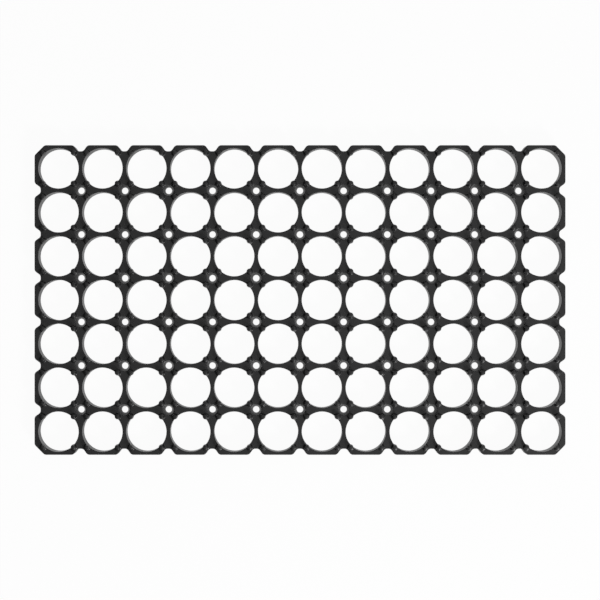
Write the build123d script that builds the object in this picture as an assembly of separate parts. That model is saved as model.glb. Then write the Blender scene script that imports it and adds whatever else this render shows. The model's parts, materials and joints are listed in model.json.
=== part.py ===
from build123d import *
import os
from math import atan, degrees

# Holder for round 18 mm x 65 mm cells: one moulded plate, 12 columns by 7 rows.
# The plate lies flat, in millimetres: +X along the rows, +Y along the columns, +Z up, with the
# origin at the middle of the underside. Cells go in from below and stop under the lugs on top.

# Cell grid
COLUMNS = 12
ROWS = 7
CELL_DIAMETER = 18.3
CELL_CLEARANCE = 0.3        # on the diameter
NECK = 1.6                  # thinnest wall between two neighbouring cells

# Heights
WEB_HEIGHT = 6.0            # depth of a socket, underside to strip side
LUG_HEIGHT = 2.0            # how far the lugs stand above the strip side

# Outer rim
END_RIM = 1.7               # wall beyond the first and last columns
SIDE_RIM = 1.3              # wall beyond the first and last rows
CORNER_CUT = 4.6            # leg of the slope across each corner
NOTCH_DEPTH = 2.8
NOTCH_MOUTH = 6.5           # width at the rim, before its edges are rounded
NOTCH_FLOOR = 2.5           # width at the bottom, before its edges are rounded
SHOULDER_RADIUS = 1.9       # rounds where the straight rim ends
NOTCH_RADIUS = 1.7          # rounds at the bottom of a notch

# Lugs: four to a cell, on its diagonals
LUG_WIDTH = 2.8             # across the flats at the foot
LUG_TOP_WIDTH = 2.2         # across the flats at the top
LUG_SIDES = 6
LUG_REACH = 0.65            # how far a lug stands over the socket

# Screw holes: one where four cells meet
SCREW_DIAMETER = 3.0        # close fit for an M3 screw
SCREW_SINK_DIAMETER = 5.1   # mouth of the funnel on the strip side
SCREW_SINK_DEPTH = 2.8
SCREW_LAND = 0.8            # length of the narrow part
SCREW_RELIEF_DIAMETER = 7.4 # at the underside, a seat for a countersunk screw head

# Sizes that follow from those above
BORE_RADIUS = (CELL_DIAMETER + CELL_CLEARANCE) / 2
PITCH = 2 * BORE_RADIUS + NECK
LENGTH = (COLUMNS - 1) * PITCH + 2 * (BORE_RADIUS + END_RIM)
WIDTH = (ROWS - 1) * PITCH + 2 * (BORE_RADIUS + SIDE_RIM)
TOLERANCE = 1e-3


def cell_places():
    """Centres of the 84 sockets."""
    return GridLocations(PITCH, PITCH, COLUMNS, ROWS)


def screw_places():
    """Centres of the 66 screw holes, between the sockets."""
    return GridLocations(PITCH, PITCH, COLUMNS - 1, ROWS - 1)


def notch():
    """Cutter for one rim notch, with its mouth on the X axis and its bottom toward -Y."""
    mouth = NOTCH_MOUTH / 2
    floor = NOTCH_FLOOR / 2
    flank = mouth - floor
    shape = make_face(
        Polyline(
            (-mouth - flank, NOTCH_DEPTH),
            (-floor, -NOTCH_DEPTH),
            (floor, -NOTCH_DEPTH),
            (mouth + flank, NOTCH_DEPTH),
            close=True,
        )
    )
    bottom = shape.vertices().group_by(Axis.Y)[0]
    return fillet(bottom, NOTCH_RADIUS)


def notch_places():
    """A notch between each two cells of the rim, on all four sides."""
    places = []
    for column in range(COLUMNS - 1):
        x = (column - (COLUMNS - 2) / 2) * PITCH
        places.append(Location((x, WIDTH / 2), 0))
        places.append(Location((x, -WIDTH / 2), 180))
    for row in range(ROWS - 1):
        y = (row - (ROWS - 2) / 2) * PITCH
        places.append(Location((-LENGTH / 2, y), 90))
        places.append(Location((LENGTH / 2, y), -90))
    return places


def on_rim(vertex):
    """Whether a corner of the outline lies on the straight sides of the rim."""
    on_end = abs(abs(vertex.X) - LENGTH / 2) < TOLERANCE
    on_side = abs(abs(vertex.Y) - WIDTH / 2) < TOLERANCE
    return on_end or on_side


def outline():
    """Plan of the plate: cut corners and rounded notches."""
    plan = Rectangle(LENGTH, WIDTH)
    plan = chamfer(plan.vertices(), CORNER_CUT)
    plan -= [place * notch() for place in notch_places()]
    shoulders = [vertex for vertex in plan.vertices() if on_rim(vertex)]
    return fillet(shoulders, SHOULDER_RADIUS)


def web():
    """The plate with its sockets, up to the strip side."""
    plan = outline() - [place * Circle(BORE_RADIUS) for place in cell_places()]
    return extrude(plan, WEB_HEIGHT)


def screw_hole():
    """Cutter for one screw hole: a funnel on top, a narrow land and a relief below."""
    screw = SCREW_DIAMETER / 2
    land_top = WEB_HEIGHT - SCREW_SINK_DEPTH
    land_bottom = land_top - SCREW_LAND
    section = Polyline(
        (0, 0),
        (SCREW_RELIEF_DIAMETER / 2, 0),
        (screw, land_bottom),
        (screw, land_top),
        (SCREW_SINK_DIAMETER / 2, WEB_HEIGHT),
        (0, WEB_HEIGHT),
        close=True,
    )
    return revolve(make_face(Plane.XZ * section), Axis.Z)


def lug():
    """One lug at its place beside a cell whose centre is the origin, on the +X side."""
    reach = BORE_RADIUS - LUG_REACH + LUG_WIDTH / 2
    draft = degrees(atan((LUG_WIDTH - LUG_TOP_WIDTH) / 2 / LUG_HEIGHT))
    foot = RegularPolygon(LUG_WIDTH / 2, LUG_SIDES, major_radius=False, rotation=180 / LUG_SIDES)
    return Pos(reach, 0, WEB_HEIGHT) * extrude(foot, LUG_HEIGHT, taper=draft)


def lug_set():
    """The four lugs of one cell, on its diagonals."""
    return [Rot(0, 0, 45 + 90 * quarter) * lug() for quarter in range(4)]


def holder():
    """The whole moulding."""
    plate = web() - [place * screw_hole() for place in screw_places()]
    lugs = lug_set()
    return plate + [place * one for place in cell_places() for one in lugs]


os.makedirs("parts", exist_ok=True)
cell_holder = holder()
cell_holder.label = "cell_holder"
export_step(cell_holder, "parts/cell_holder.step")
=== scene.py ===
import json
from math import atan2, cos, pi, radians, sin, tan

import bmesh
import bpy
from mathutils import Matrix, Vector


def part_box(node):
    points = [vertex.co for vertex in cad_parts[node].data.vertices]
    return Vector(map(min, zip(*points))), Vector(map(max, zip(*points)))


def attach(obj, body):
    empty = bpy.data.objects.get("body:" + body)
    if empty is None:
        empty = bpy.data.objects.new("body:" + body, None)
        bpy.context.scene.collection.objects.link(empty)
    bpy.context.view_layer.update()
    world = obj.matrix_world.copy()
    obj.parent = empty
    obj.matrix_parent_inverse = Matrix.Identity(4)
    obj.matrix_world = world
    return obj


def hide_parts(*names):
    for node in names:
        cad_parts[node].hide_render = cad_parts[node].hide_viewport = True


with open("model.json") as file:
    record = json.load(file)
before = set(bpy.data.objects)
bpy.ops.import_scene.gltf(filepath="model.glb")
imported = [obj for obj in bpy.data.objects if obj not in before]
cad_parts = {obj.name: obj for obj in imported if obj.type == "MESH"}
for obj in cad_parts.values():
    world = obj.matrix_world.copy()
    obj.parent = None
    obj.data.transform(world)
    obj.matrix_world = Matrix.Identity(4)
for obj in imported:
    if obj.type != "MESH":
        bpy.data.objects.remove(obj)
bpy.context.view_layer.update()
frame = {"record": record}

# A moulded holder for round cells, lying flat with its lugs up, seen from straight above.
# Lengths are millimetres and are scaled by MM on their way into Blender. The few that are in
# metres say so.
MM = 0.001


# ---------------------------------------------------------------- sizes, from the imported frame

def listed(kind):
    """The record's mounts of one kind."""
    return [mount for mount in frame["record"]["mounts"] if mount["kind"] == kind]


def line_of(values):
    """The different values of one coordinate of the sockets, in order and in mm."""
    return sorted({round(value / MM, 4) for value in values})


NODE = "cell_holder"
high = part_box(NODE)[1]
sockets = listed("bore")
columns = line_of(mount["pos_m"][0] for mount in sockets)
rows = line_of(mount["pos_m"][1] for mount in sockets)

PITCH = columns[1] - columns[0]
BORE_RADIUS = sockets[0]["dims"]["r_mm"]
WEB_TOP = sockets[0]["dims"]["length_mm"]
LUG_TOP = high[2] / MM
END_REACH = high[0] / MM - columns[-1]      # from the last column of cells to the rim
SIDE_REACH = high[1] / MM - rows[-1]        # from the last row of cells to the rim
SCREW_RADIUS = listed("bolt_pattern")[0]["dims"]["hole_r_mm"]

# Plan of the rim, as in the part's source
CORNER_CUT = 4.6
NOTCH_DEPTH = 2.8
NOTCH_MOUTH = 6.5
NOTCH_FLOOR = 2.5
SHOULDER_RADIUS = 1.9
NOTCH_RADIUS = 1.7

# Screw hole, as in the part's source
SINK_RADIUS = 2.55
SINK_DEPTH = 2.8
LAND = 0.8
RELIEF_RADIUS = 3.7

# Lug, close to the part's source, with the rounding that a mould gives it
LUG_FOOT = 1.3              # radius above the fillet
LUG_CROWN = 1.04            # radius near the top
LUG_REACH = 0.65            # how far a lug stands over the socket
LUG_CENTRE = BORE_RADIUS - LUG_REACH + LUG_FOOT
LUG_HEIGHT = LUG_TOP - WEB_TOP
LUG_FILLET = 0.45           # how far the foot spreads over the web
LUG_SIDES = 14
LUG_SINK = 0.01             # how far a lug starts below the web, so that the two join cleanly
LUG_RINGS = (               # radius, spread of the fillet and height above the web
    (LUG_FOOT, LUG_FILLET, -LUG_SINK),
    (LUG_FOOT, 0.4 * LUG_FILLET, 0.12),
    (LUG_FOOT, 0.08 * LUG_FILLET, 0.42),
    (LUG_CROWN + 0.07, 0, LUG_HEIGHT - 0.5),
    (LUG_CROWN + 0.02, 0, LUG_HEIGHT - 0.1),
    (LUG_CROWN - 0.12, 0, LUG_HEIGHT - 0.01),
)
FILLET_BY_SCREW = 0.6       # share of the fillet that fits between a lug and a screw hole
PAST_SCREW = (radians(5), radians(45))      # turns round a lug over which that share grows to one
PAST_SOCKET = (radians(135), radians(100))  # and over which it grows from none over the socket

EDGE = 0.16                 # small bevel along the moulded edges
LEAD_IN = 0.1               # bevel at the mouth of a socket, on the underside
WALL_LEVELS = (WEB_TOP, WEB_TOP - EDGE, WEB_TOP * 2 / 3, WEB_TOP / 3, EDGE, 0)
STEP = radians(6)           # turn aimed at between two stations round a socket
SCREW_STEPS = 8             # steps round a quarter of a screw hole
ARC_STEPS = 4               # steps round a rounded corner of the rim
ON_PLANE = 1e-4             # how near a point lies to a plane that it counts as on
WELD = 2e-6                 # metres within which the points of two quarters are one
SHARP = radians(35)         # edges that turn more than this keep a crease

# Black plastic: base colour, roughness and grain
DARK_TONE = (0.0055, 0.0055, 0.006, 1)
LIGHT_TONE = (0.011, 0.011, 0.0115, 1)
TONE_RANGE = (0.3, 0.75)
CLOUD_SCALE = 55
CLOUD_DETAIL = 4
GLOSS_RANGE = (0.3, 0.7)
ROUGHNESS = (0.36, 0.48)
PLASTIC_IOR = 1.55
GRAIN_SCALE = 4200
GRAIN_DETAIL = 3
GRAIN_STRENGTH = 0.2
GRAIN_HEIGHT = 0.00004      # metres

# Floor: how much of it shows as plain white to the camera and to reflections
FLOOR_TONE = (0.86, 0.86, 0.86, 1)
WHITE = (1, 1, 1, 1)
WHITE_TO_CAMERA = 0.955
WHITE_TO_GLOSS = 0.95
FLOOR_REACH = 1.5           # metres from the middle to each side
FLOOR_DROP = 0.00005        # metres below the part

# Soft boxes: name, place and size in metres, power in watts
BOXES = (
    ("key", (0.6, -0.85, 0.6), 0.25, 12),
    ("side", (0.95, 0.2, 0.8), 1.3, 2.6),
    ("overhead", (0.06, -0.05, 1.6), 1.5, 3.9),
    ("back", (-0.1, 1.2, 0.8), 1.0, 3.5),
)
SKY_STRENGTH = 0.05         # as light on the part

# Camera, above the strip side of the web
CAMERA_HEIGHT = 570
CAMERA_FIELD = 275.9        # width of the frame at the strip side
CAMERA_FOOT = (-6, -4)      # the point straight below the lens
SENSOR = 36                 # sensor and lens stay in mm, as Blender takes them


# ---------------------------------------------------------------- the moulding

def rounded(corners, radii):
    """Points and outward normals of an open line with its inner corners rounded."""
    points = []

    def add(x, y, angle):
        points.append((x, y, cos(angle), sin(angle)))

    last = len(corners) - 1
    for i, (x, y) in enumerate(corners):
        before = corners[max(i - 1, 0)]
        after = corners[min(i + 1, last)]
        way_in = atan2(y - before[1], x - before[0])
        way_out = atan2(after[1] - y, after[0] - x)
        if i == 0:
            add(x, y, way_out - pi / 2)
        elif i == last:
            add(x, y, way_in - pi / 2)
        else:
            turn = (way_out - way_in + pi) % (2 * pi) - pi
            radius = radii[i - 1]
            back = radius * tan(abs(turn) / 2)
            side = 1 if turn > 0 else -1
            start = Vector((x - back * cos(way_in), y - back * sin(way_in)))
            centre = start + side * radius * Vector((-sin(way_in), cos(way_in)))
            for step in range(ARC_STEPS + 1):
                heading = way_in + turn * step / ARC_STEPS
                add(
                    centre.x + side * radius * sin(heading),
                    centre.y - side * radius * cos(heading),
                    heading - pi / 2,
                )
    return points


def filled(points):
    """The same line with points added where two lie well over STEP apart round the cell."""
    out = [points[0]]
    for x, y, nx, ny in points[1:]:
        x0, y0 = out[-1][:2]
        gap = atan2(y, x) - atan2(y0, x0)
        count = max(1, round(gap / STEP))
        for i in range(1, count):
            part = i / count
            out.append((x0 + (x - x0) * part, y0 + (y - y0) * part, nx, ny))
        out.append((x, y, nx, ny))
    return out


def rim_side(points):
    """Stations along a stretch of rim: the bore angle, then the outer wall from top to bottom."""
    stations = []
    for x, y, nx, ny in points:
        outer = []
        for z in WALL_LEVELS:
            inset = EDGE if z in (WEB_TOP, 0) else 0
            outer.append((x - inset * nx, y - inset * ny, z))
        stations.append((atan2(y, x), outer))
    return stations


def neck_side(reach, angles):
    """Stations along the middle of a neck at x = reach, where the next cell's web carries on."""
    return [(a, [(reach, reach * tan(a), z) for z in WALL_LEVELS]) for a in angles]


def spread(start, end):
    """Angles from start up to, but without, end."""
    count = max(1, round((end - start) / STEP))
    return [start + (end - start) * i / count for i in range(count)]


def swapped(stations):
    """The same stations mirrored in the cell's diagonal."""
    return [(pi / 2 - a, [(y, x, z) for x, y, z in outer]) for a, outer in reversed(stations)]


def notched_stations(rim):
    """Quarter of a rim cell: rim and half a notch at x = rim, then the neck to the next cell."""
    half = PITCH / 2
    floor_x = rim - NOTCH_DEPTH
    line = [(rim, 0), (rim, half - NOTCH_MOUTH / 2), (floor_x, half - NOTCH_FLOOR / 2), (floor_x, half)]
    wall = rim_side(filled(rounded(line, (SHOULDER_RADIUS, NOTCH_RADIUS))))
    neck = swapped(neck_side(half, spread(0, pi / 2 - atan2(half, floor_x))))
    return wall + neck


def corner_stations():
    """Quarter of a corner cell: two stretches of rim with the cut corner between them."""
    line = [
        (END_REACH, 0),
        (END_REACH, SIDE_REACH - CORNER_CUT),
        (END_REACH - CORNER_CUT, SIDE_REACH),
        (0, SIDE_REACH),
    ]
    return rim_side(filled(rounded(line, (SHOULDER_RADIUS, SHOULDER_RADIUS))))


def inner_stations():
    """Quarter of an inner cell: two necks with a quarter of a screw hole between them."""
    half = PITCH / 2
    land_top = WEB_TOP - SINK_DEPTH
    profile = [
        (SINK_RADIUS + EDGE / 2, WEB_TOP),
        (SINK_RADIUS - EDGE / 4, WEB_TOP - EDGE / 2),
        ((SINK_RADIUS + SCREW_RADIUS) / 2, WEB_TOP - SINK_DEPTH / 2),
        (SCREW_RADIUS, land_top),
        (SCREW_RADIUS, land_top - LAND),
        (RELIEF_RADIUS, 0),
    ]
    start = atan2(half - profile[0][0], half)
    screw = []
    for i in range(SCREW_STEPS + 1):
        part = i / SCREW_STEPS
        turn = part * pi / 2
        wall = [(half - r * sin(turn), half - r * cos(turn), z) for r, z in profile]
        screw.append((start + part * (pi / 2 - 2 * start), wall))
    neck = neck_side(half, spread(0, start))
    return neck + screw + swapped(neck)


def bore_side(angle):
    """The socket's wall at one angle, from bottom to top."""
    profile = [
        (BORE_RADIUS + LEAD_IN, 0),
        (BORE_RADIUS, LEAD_IN),
        (BORE_RADIUS, WEB_TOP - EDGE),
        (BORE_RADIUS + EDGE, WEB_TOP),
    ]
    return [(r * cos(angle), r * sin(angle), z) for r, z in profile]


def web_quarter(stations):
    """Closed mesh of a quarter of a cell's web, swept through its stations."""
    mesh = bmesh.new()
    rings = [
        [mesh.verts.new(point) for point in bore_side(angle) + outer]
        for angle, outer in stations
    ]
    for ring, following in zip(rings, rings[1:]):
        for k in range(len(ring)):
            n = (k + 1) % len(ring)
            mesh.faces.new((ring[k], ring[n], following[n], following[k]))
    mesh.faces.new(rings[0])
    mesh.faces.new(list(reversed(rings[-1])))
    bmesh.ops.recalc_face_normals(mesh, faces=mesh.faces)
    return mesh


def web_room(angle):
    """Share of the foot's fillet that fits at an angle from the lug's outer side: less beside the
    screw hole and none over the socket."""
    beside_screw = FILLET_BY_SCREW + (1 - FILLET_BY_SCREW) * ramp(angle, *PAST_SCREW)
    return beside_screw * ramp(angle, *PAST_SOCKET)


def ramp(value, start, end):
    """Smooth step from 0 at start to 1 at end."""
    part = min(1, max(0, (value - start) / (end - start)))
    return part * part * (3 - 2 * part)


def lug():
    """Closed mesh of one lug on the cell's diagonal: spread foot, drafted sides, round crown."""
    mesh = bmesh.new()
    place = Matrix.Rotation(pi / 4, 4, "Z") @ Matrix.Translation((LUG_CENTRE, 0, WEB_TOP))
    loops = []
    for radius, spread_out, z in LUG_RINGS:
        loop = []
        for side in range(LUG_SIDES):
            angle = (side + 0.5 - LUG_SIDES / 2) * 2 * pi / LUG_SIDES
            reach = radius + spread_out * web_room(abs(angle))
            point = Vector((reach * cos(angle), reach * sin(angle), z))
            loop.append(mesh.verts.new(place @ point))
        loops.append(loop)
    for loop, above in zip(loops, loops[1:]):
        for k in range(LUG_SIDES):
            n = (k + 1) % LUG_SIDES
            mesh.faces.new((loop[k], loop[n], above[n], above[k]))
    top = mesh.verts.new(place @ Vector((0, 0, LUG_HEIGHT)))
    for k in range(LUG_SIDES):
        mesh.faces.new((loops[-1][k], loops[-1][(k + 1) % LUG_SIDES], top))
    mesh.faces.new(list(reversed(loops[0])))
    bmesh.ops.recalc_face_normals(mesh, faces=mesh.faces)
    return mesh


def object_of(mesh, name):
    """A Blender object made from a bmesh, which is freed."""
    data = bpy.data.meshes.new(name)
    mesh.to_mesh(data)
    mesh.free()
    made = bpy.data.objects.new(name, data)
    bpy.context.scene.collection.objects.link(made)
    return made


def joined(web, post):
    """The union of two closed meshes."""
    body = object_of(web, "web")
    tool = object_of(post, "post")
    union = body.modifiers.new("union", "BOOLEAN")
    union.operation = "UNION"
    union.solver = "EXACT"
    union.object = tool
    view = bpy.context.evaluated_depsgraph_get()
    result = bmesh.new()
    result.from_mesh(body.evaluated_get(view).to_mesh())
    for made in (body, tool):
        data = made.data
        bpy.data.objects.remove(made)
        bpy.data.meshes.remove(data)
    return result


def opened(mesh, reach_x, reach_y):
    """Points and faces of a quarter, open where its neighbours carry on. None stands for a rim."""
    planes = [(0, 0), (1, 0)]
    if reach_x:
        planes.append((0, reach_x))
    if reach_y:
        planes.append((1, reach_y))
    inside = [
        face
        for face in mesh.faces
        if any(all(abs(v.co[axis] - at) < ON_PLANE for v in face.verts) for axis, at in planes)
    ]
    bmesh.ops.delete(mesh, geom=inside, context="FACES")
    bmesh.ops.triangulate(mesh, faces=[face for face in mesh.faces if len(face.verts) > 4])
    mesh.verts.index_update()
    points = [tuple(vertex.co) for vertex in mesh.verts]
    faces = [[vertex.index for vertex in face.verts] for face in mesh.faces]
    mesh.free()
    return points, faces


def quarters():
    """The four kinds of cell quarter, by whether the rim is beside it in X and in Y."""
    half = PITCH / 2
    plans = {
        (False, False): (inner_stations(), half, half),
        (True, False): (notched_stations(END_REACH), None, half),
        (False, True): (swapped(notched_stations(SIDE_REACH)), half, None),
        (True, True): (corner_stations(), None, None),
    }
    made = {}
    for kind, (stations, reach_x, reach_y) in plans.items():
        made[kind] = opened(joined(web_quarter(stations), lug()), reach_x, reach_y)
    return made


def moulding():
    """The whole holder: every cell's four quarters, mirrored into place and welded."""
    kinds = quarters()
    points = []
    faces = []
    for x in columns:
        for y in rows:
            for side_x in (-1, 1):
                for side_y in (-1, 1):
                    by_end = x == (columns[-1] if side_x > 0 else columns[0])
                    by_side = y == (rows[-1] if side_y > 0 else rows[0])
                    quarter, polygons = kinds[by_end, by_side]
                    first = len(points)
                    points += [
                        ((x + side_x * px) * MM, (y + side_y * py) * MM, pz * MM)
                        for px, py, pz in quarter
                    ]
                    turn = side_x * side_y
                    faces += [[first + v for v in polygon[::turn]] for polygon in polygons]
    data = bpy.data.meshes.new("moulding")
    data.from_pydata(points, [], faces)
    mesh = bmesh.new()
    mesh.from_mesh(data)
    bmesh.ops.remove_doubles(mesh, verts=mesh.verts, dist=WELD)
    mesh.to_mesh(data)
    mesh.free()
    data.shade_smooth()
    data.set_sharp_from_angle(angle=SHARP)
    made = bpy.data.objects.new("moulding", data)
    bpy.context.scene.collection.objects.link(made)
    flat = made.modifiers.new("flat_tops", "WEIGHTED_NORMAL")
    flat.keep_sharp = True
    return made


# ---------------------------------------------------------------- materials

def new_material(name):
    """An empty node material: its nodes, its links and its output."""
    material = bpy.data.materials.new(name)
    material.use_nodes = True
    nodes = material.node_tree.nodes
    nodes.clear()
    output = nodes.new("ShaderNodeOutputMaterial")
    return material, nodes, material.node_tree.links, output


def black_plastic():
    """Black moulded plastic: satin, with a fine spark-eroded grain and a soft cloudiness."""
    material, nodes, links, output = new_material("black_plastic")
    shader = nodes.new("ShaderNodeBsdfPrincipled")
    shader.inputs["IOR"].default_value = PLASTIC_IOR
    links.new(shader.outputs["BSDF"], output.inputs["Surface"])
    place = nodes.new("ShaderNodeTexCoord")

    cloud = nodes.new("ShaderNodeTexNoise")
    cloud.inputs["Scale"].default_value = CLOUD_SCALE
    cloud.inputs["Detail"].default_value = CLOUD_DETAIL
    links.new(place.outputs["Object"], cloud.inputs["Vector"])
    tone = nodes.new("ShaderNodeValToRGB")
    dark, light = tone.color_ramp.elements
    dark.position, light.position = TONE_RANGE
    dark.color = DARK_TONE
    light.color = LIGHT_TONE
    links.new(cloud.outputs["Fac"], tone.inputs["Fac"])
    links.new(tone.outputs["Color"], shader.inputs["Base Color"])

    gloss = nodes.new("ShaderNodeMapRange")
    gloss.inputs["From Min"].default_value = GLOSS_RANGE[0]
    gloss.inputs["From Max"].default_value = GLOSS_RANGE[1]
    gloss.inputs["To Min"].default_value = ROUGHNESS[0]
    gloss.inputs["To Max"].default_value = ROUGHNESS[1]
    links.new(cloud.outputs["Fac"], gloss.inputs["Value"])
    links.new(gloss.outputs["Result"], shader.inputs["Roughness"])

    grain = nodes.new("ShaderNodeTexNoise")
    grain.inputs["Scale"].default_value = GRAIN_SCALE
    grain.inputs["Detail"].default_value = GRAIN_DETAIL
    links.new(place.outputs["Object"], grain.inputs["Vector"])
    bump = nodes.new("ShaderNodeBump")
    bump.inputs["Strength"].default_value = GRAIN_STRENGTH
    bump.inputs["Distance"].default_value = GRAIN_HEIGHT
    links.new(grain.outputs["Fac"], bump.inputs["Height"])
    links.new(bump.outputs["Normal"], shader.inputs["Normal"])
    return material


def white_floor():
    """Pale table top that shows white to the camera and keeps a faint shadow."""
    material, nodes, links, output = new_material("white_floor")
    paint = nodes.new("ShaderNodeBsdfDiffuse")
    paint.inputs["Color"].default_value = FLOOR_TONE
    glow = nodes.new("ShaderNodeEmission")
    glow.inputs["Color"].default_value = WHITE
    glow.inputs["Strength"].default_value = 1
    rays = nodes.new("ShaderNodeLightPath")
    mirrored = nodes.new("ShaderNodeMath")
    mirrored.operation = "MULTIPLY"
    mirrored.inputs[1].default_value = WHITE_TO_GLOSS
    links.new(rays.outputs["Is Glossy Ray"], mirrored.inputs[0])
    share = nodes.new("ShaderNodeMath")
    share.operation = "MULTIPLY_ADD"
    share.inputs[1].default_value = WHITE_TO_CAMERA
    links.new(rays.outputs["Is Camera Ray"], share.inputs[0])
    links.new(mirrored.outputs["Value"], share.inputs[2])
    mix = nodes.new("ShaderNodeMixShader")
    links.new(share.outputs["Value"], mix.inputs["Fac"])
    links.new(paint.outputs["BSDF"], mix.inputs[1])
    links.new(glow.outputs["Emission"], mix.inputs[2])
    links.new(mix.outputs["Shader"], output.inputs["Surface"])
    return material


# ---------------------------------------------------------------- stage, light and camera

def floor():
    """A wide plain floor under the part."""
    half = FLOOR_REACH
    corners = [(-half, -half, 0), (half, -half, 0), (half, half, 0), (-half, half, 0)]
    data = bpy.data.meshes.new("floor")
    data.from_pydata(corners, [], [(0, 1, 2, 3)])
    made = bpy.data.objects.new("floor", data)
    bpy.context.scene.collection.objects.link(made)
    made.location.z = -FLOOR_DROP
    data.materials.append(white_floor())


def softbox(name, place, size, watts):
    """A square area light at place, aimed at the middle of the part."""
    data = bpy.data.lights.new(name, "AREA")
    data.size = size
    data.energy = watts
    made = bpy.data.objects.new(name, data)
    made.location = place
    made.rotation_euler = (-Vector(place)).to_track_quat("-Z", "Y").to_euler()
    bpy.context.scene.collection.objects.link(made)


def lights():
    """A key from the lower right, wide soft boxes beside, over and behind, and a dim sky."""
    for box in BOXES:
        softbox(*box)
    bpy.context.scene.world = dim_sky()


def dim_sky():
    """A world that lights the part dimly and shows white to the camera past the floor."""
    world = bpy.data.worlds.new("sky")
    world.use_nodes = True
    nodes = world.node_tree.nodes
    links = world.node_tree.links
    sky = nodes["Background"]
    sky.inputs["Color"].default_value = WHITE
    rays = nodes.new("ShaderNodeLightPath")
    strength = nodes.new("ShaderNodeMath")
    strength.operation = "MULTIPLY_ADD"
    strength.inputs[1].default_value = 1 - SKY_STRENGTH
    strength.inputs[2].default_value = SKY_STRENGTH
    links.new(rays.outputs["Is Camera Ray"], strength.inputs[0])
    links.new(strength.outputs["Value"], sky.inputs["Strength"])
    return world


def camera():
    """Straight above, with the whole part in the frame as in the photograph."""
    foot_x, foot_y = CAMERA_FOOT
    data = bpy.data.cameras.new("camera")
    data.sensor_width = SENSOR
    data.lens = SENSOR * CAMERA_HEIGHT / CAMERA_FIELD
    data.shift_x = -foot_x / CAMERA_FIELD
    data.shift_y = -foot_y / CAMERA_FIELD
    made = bpy.data.objects.new("camera", data)
    made.location = (foot_x * MM, foot_y * MM, (WEB_TOP + CAMERA_HEIGHT) * MM)
    bpy.context.scene.collection.objects.link(made)
    bpy.context.scene.camera = made


# ---------------------------------------------------------------- scene

holder = moulding()
holder.data.materials.append(black_plastic())
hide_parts(NODE)
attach(holder, "root")

floor()
lights()
camera()
bpy.context.scene.view_settings.view_transform = "Standard"
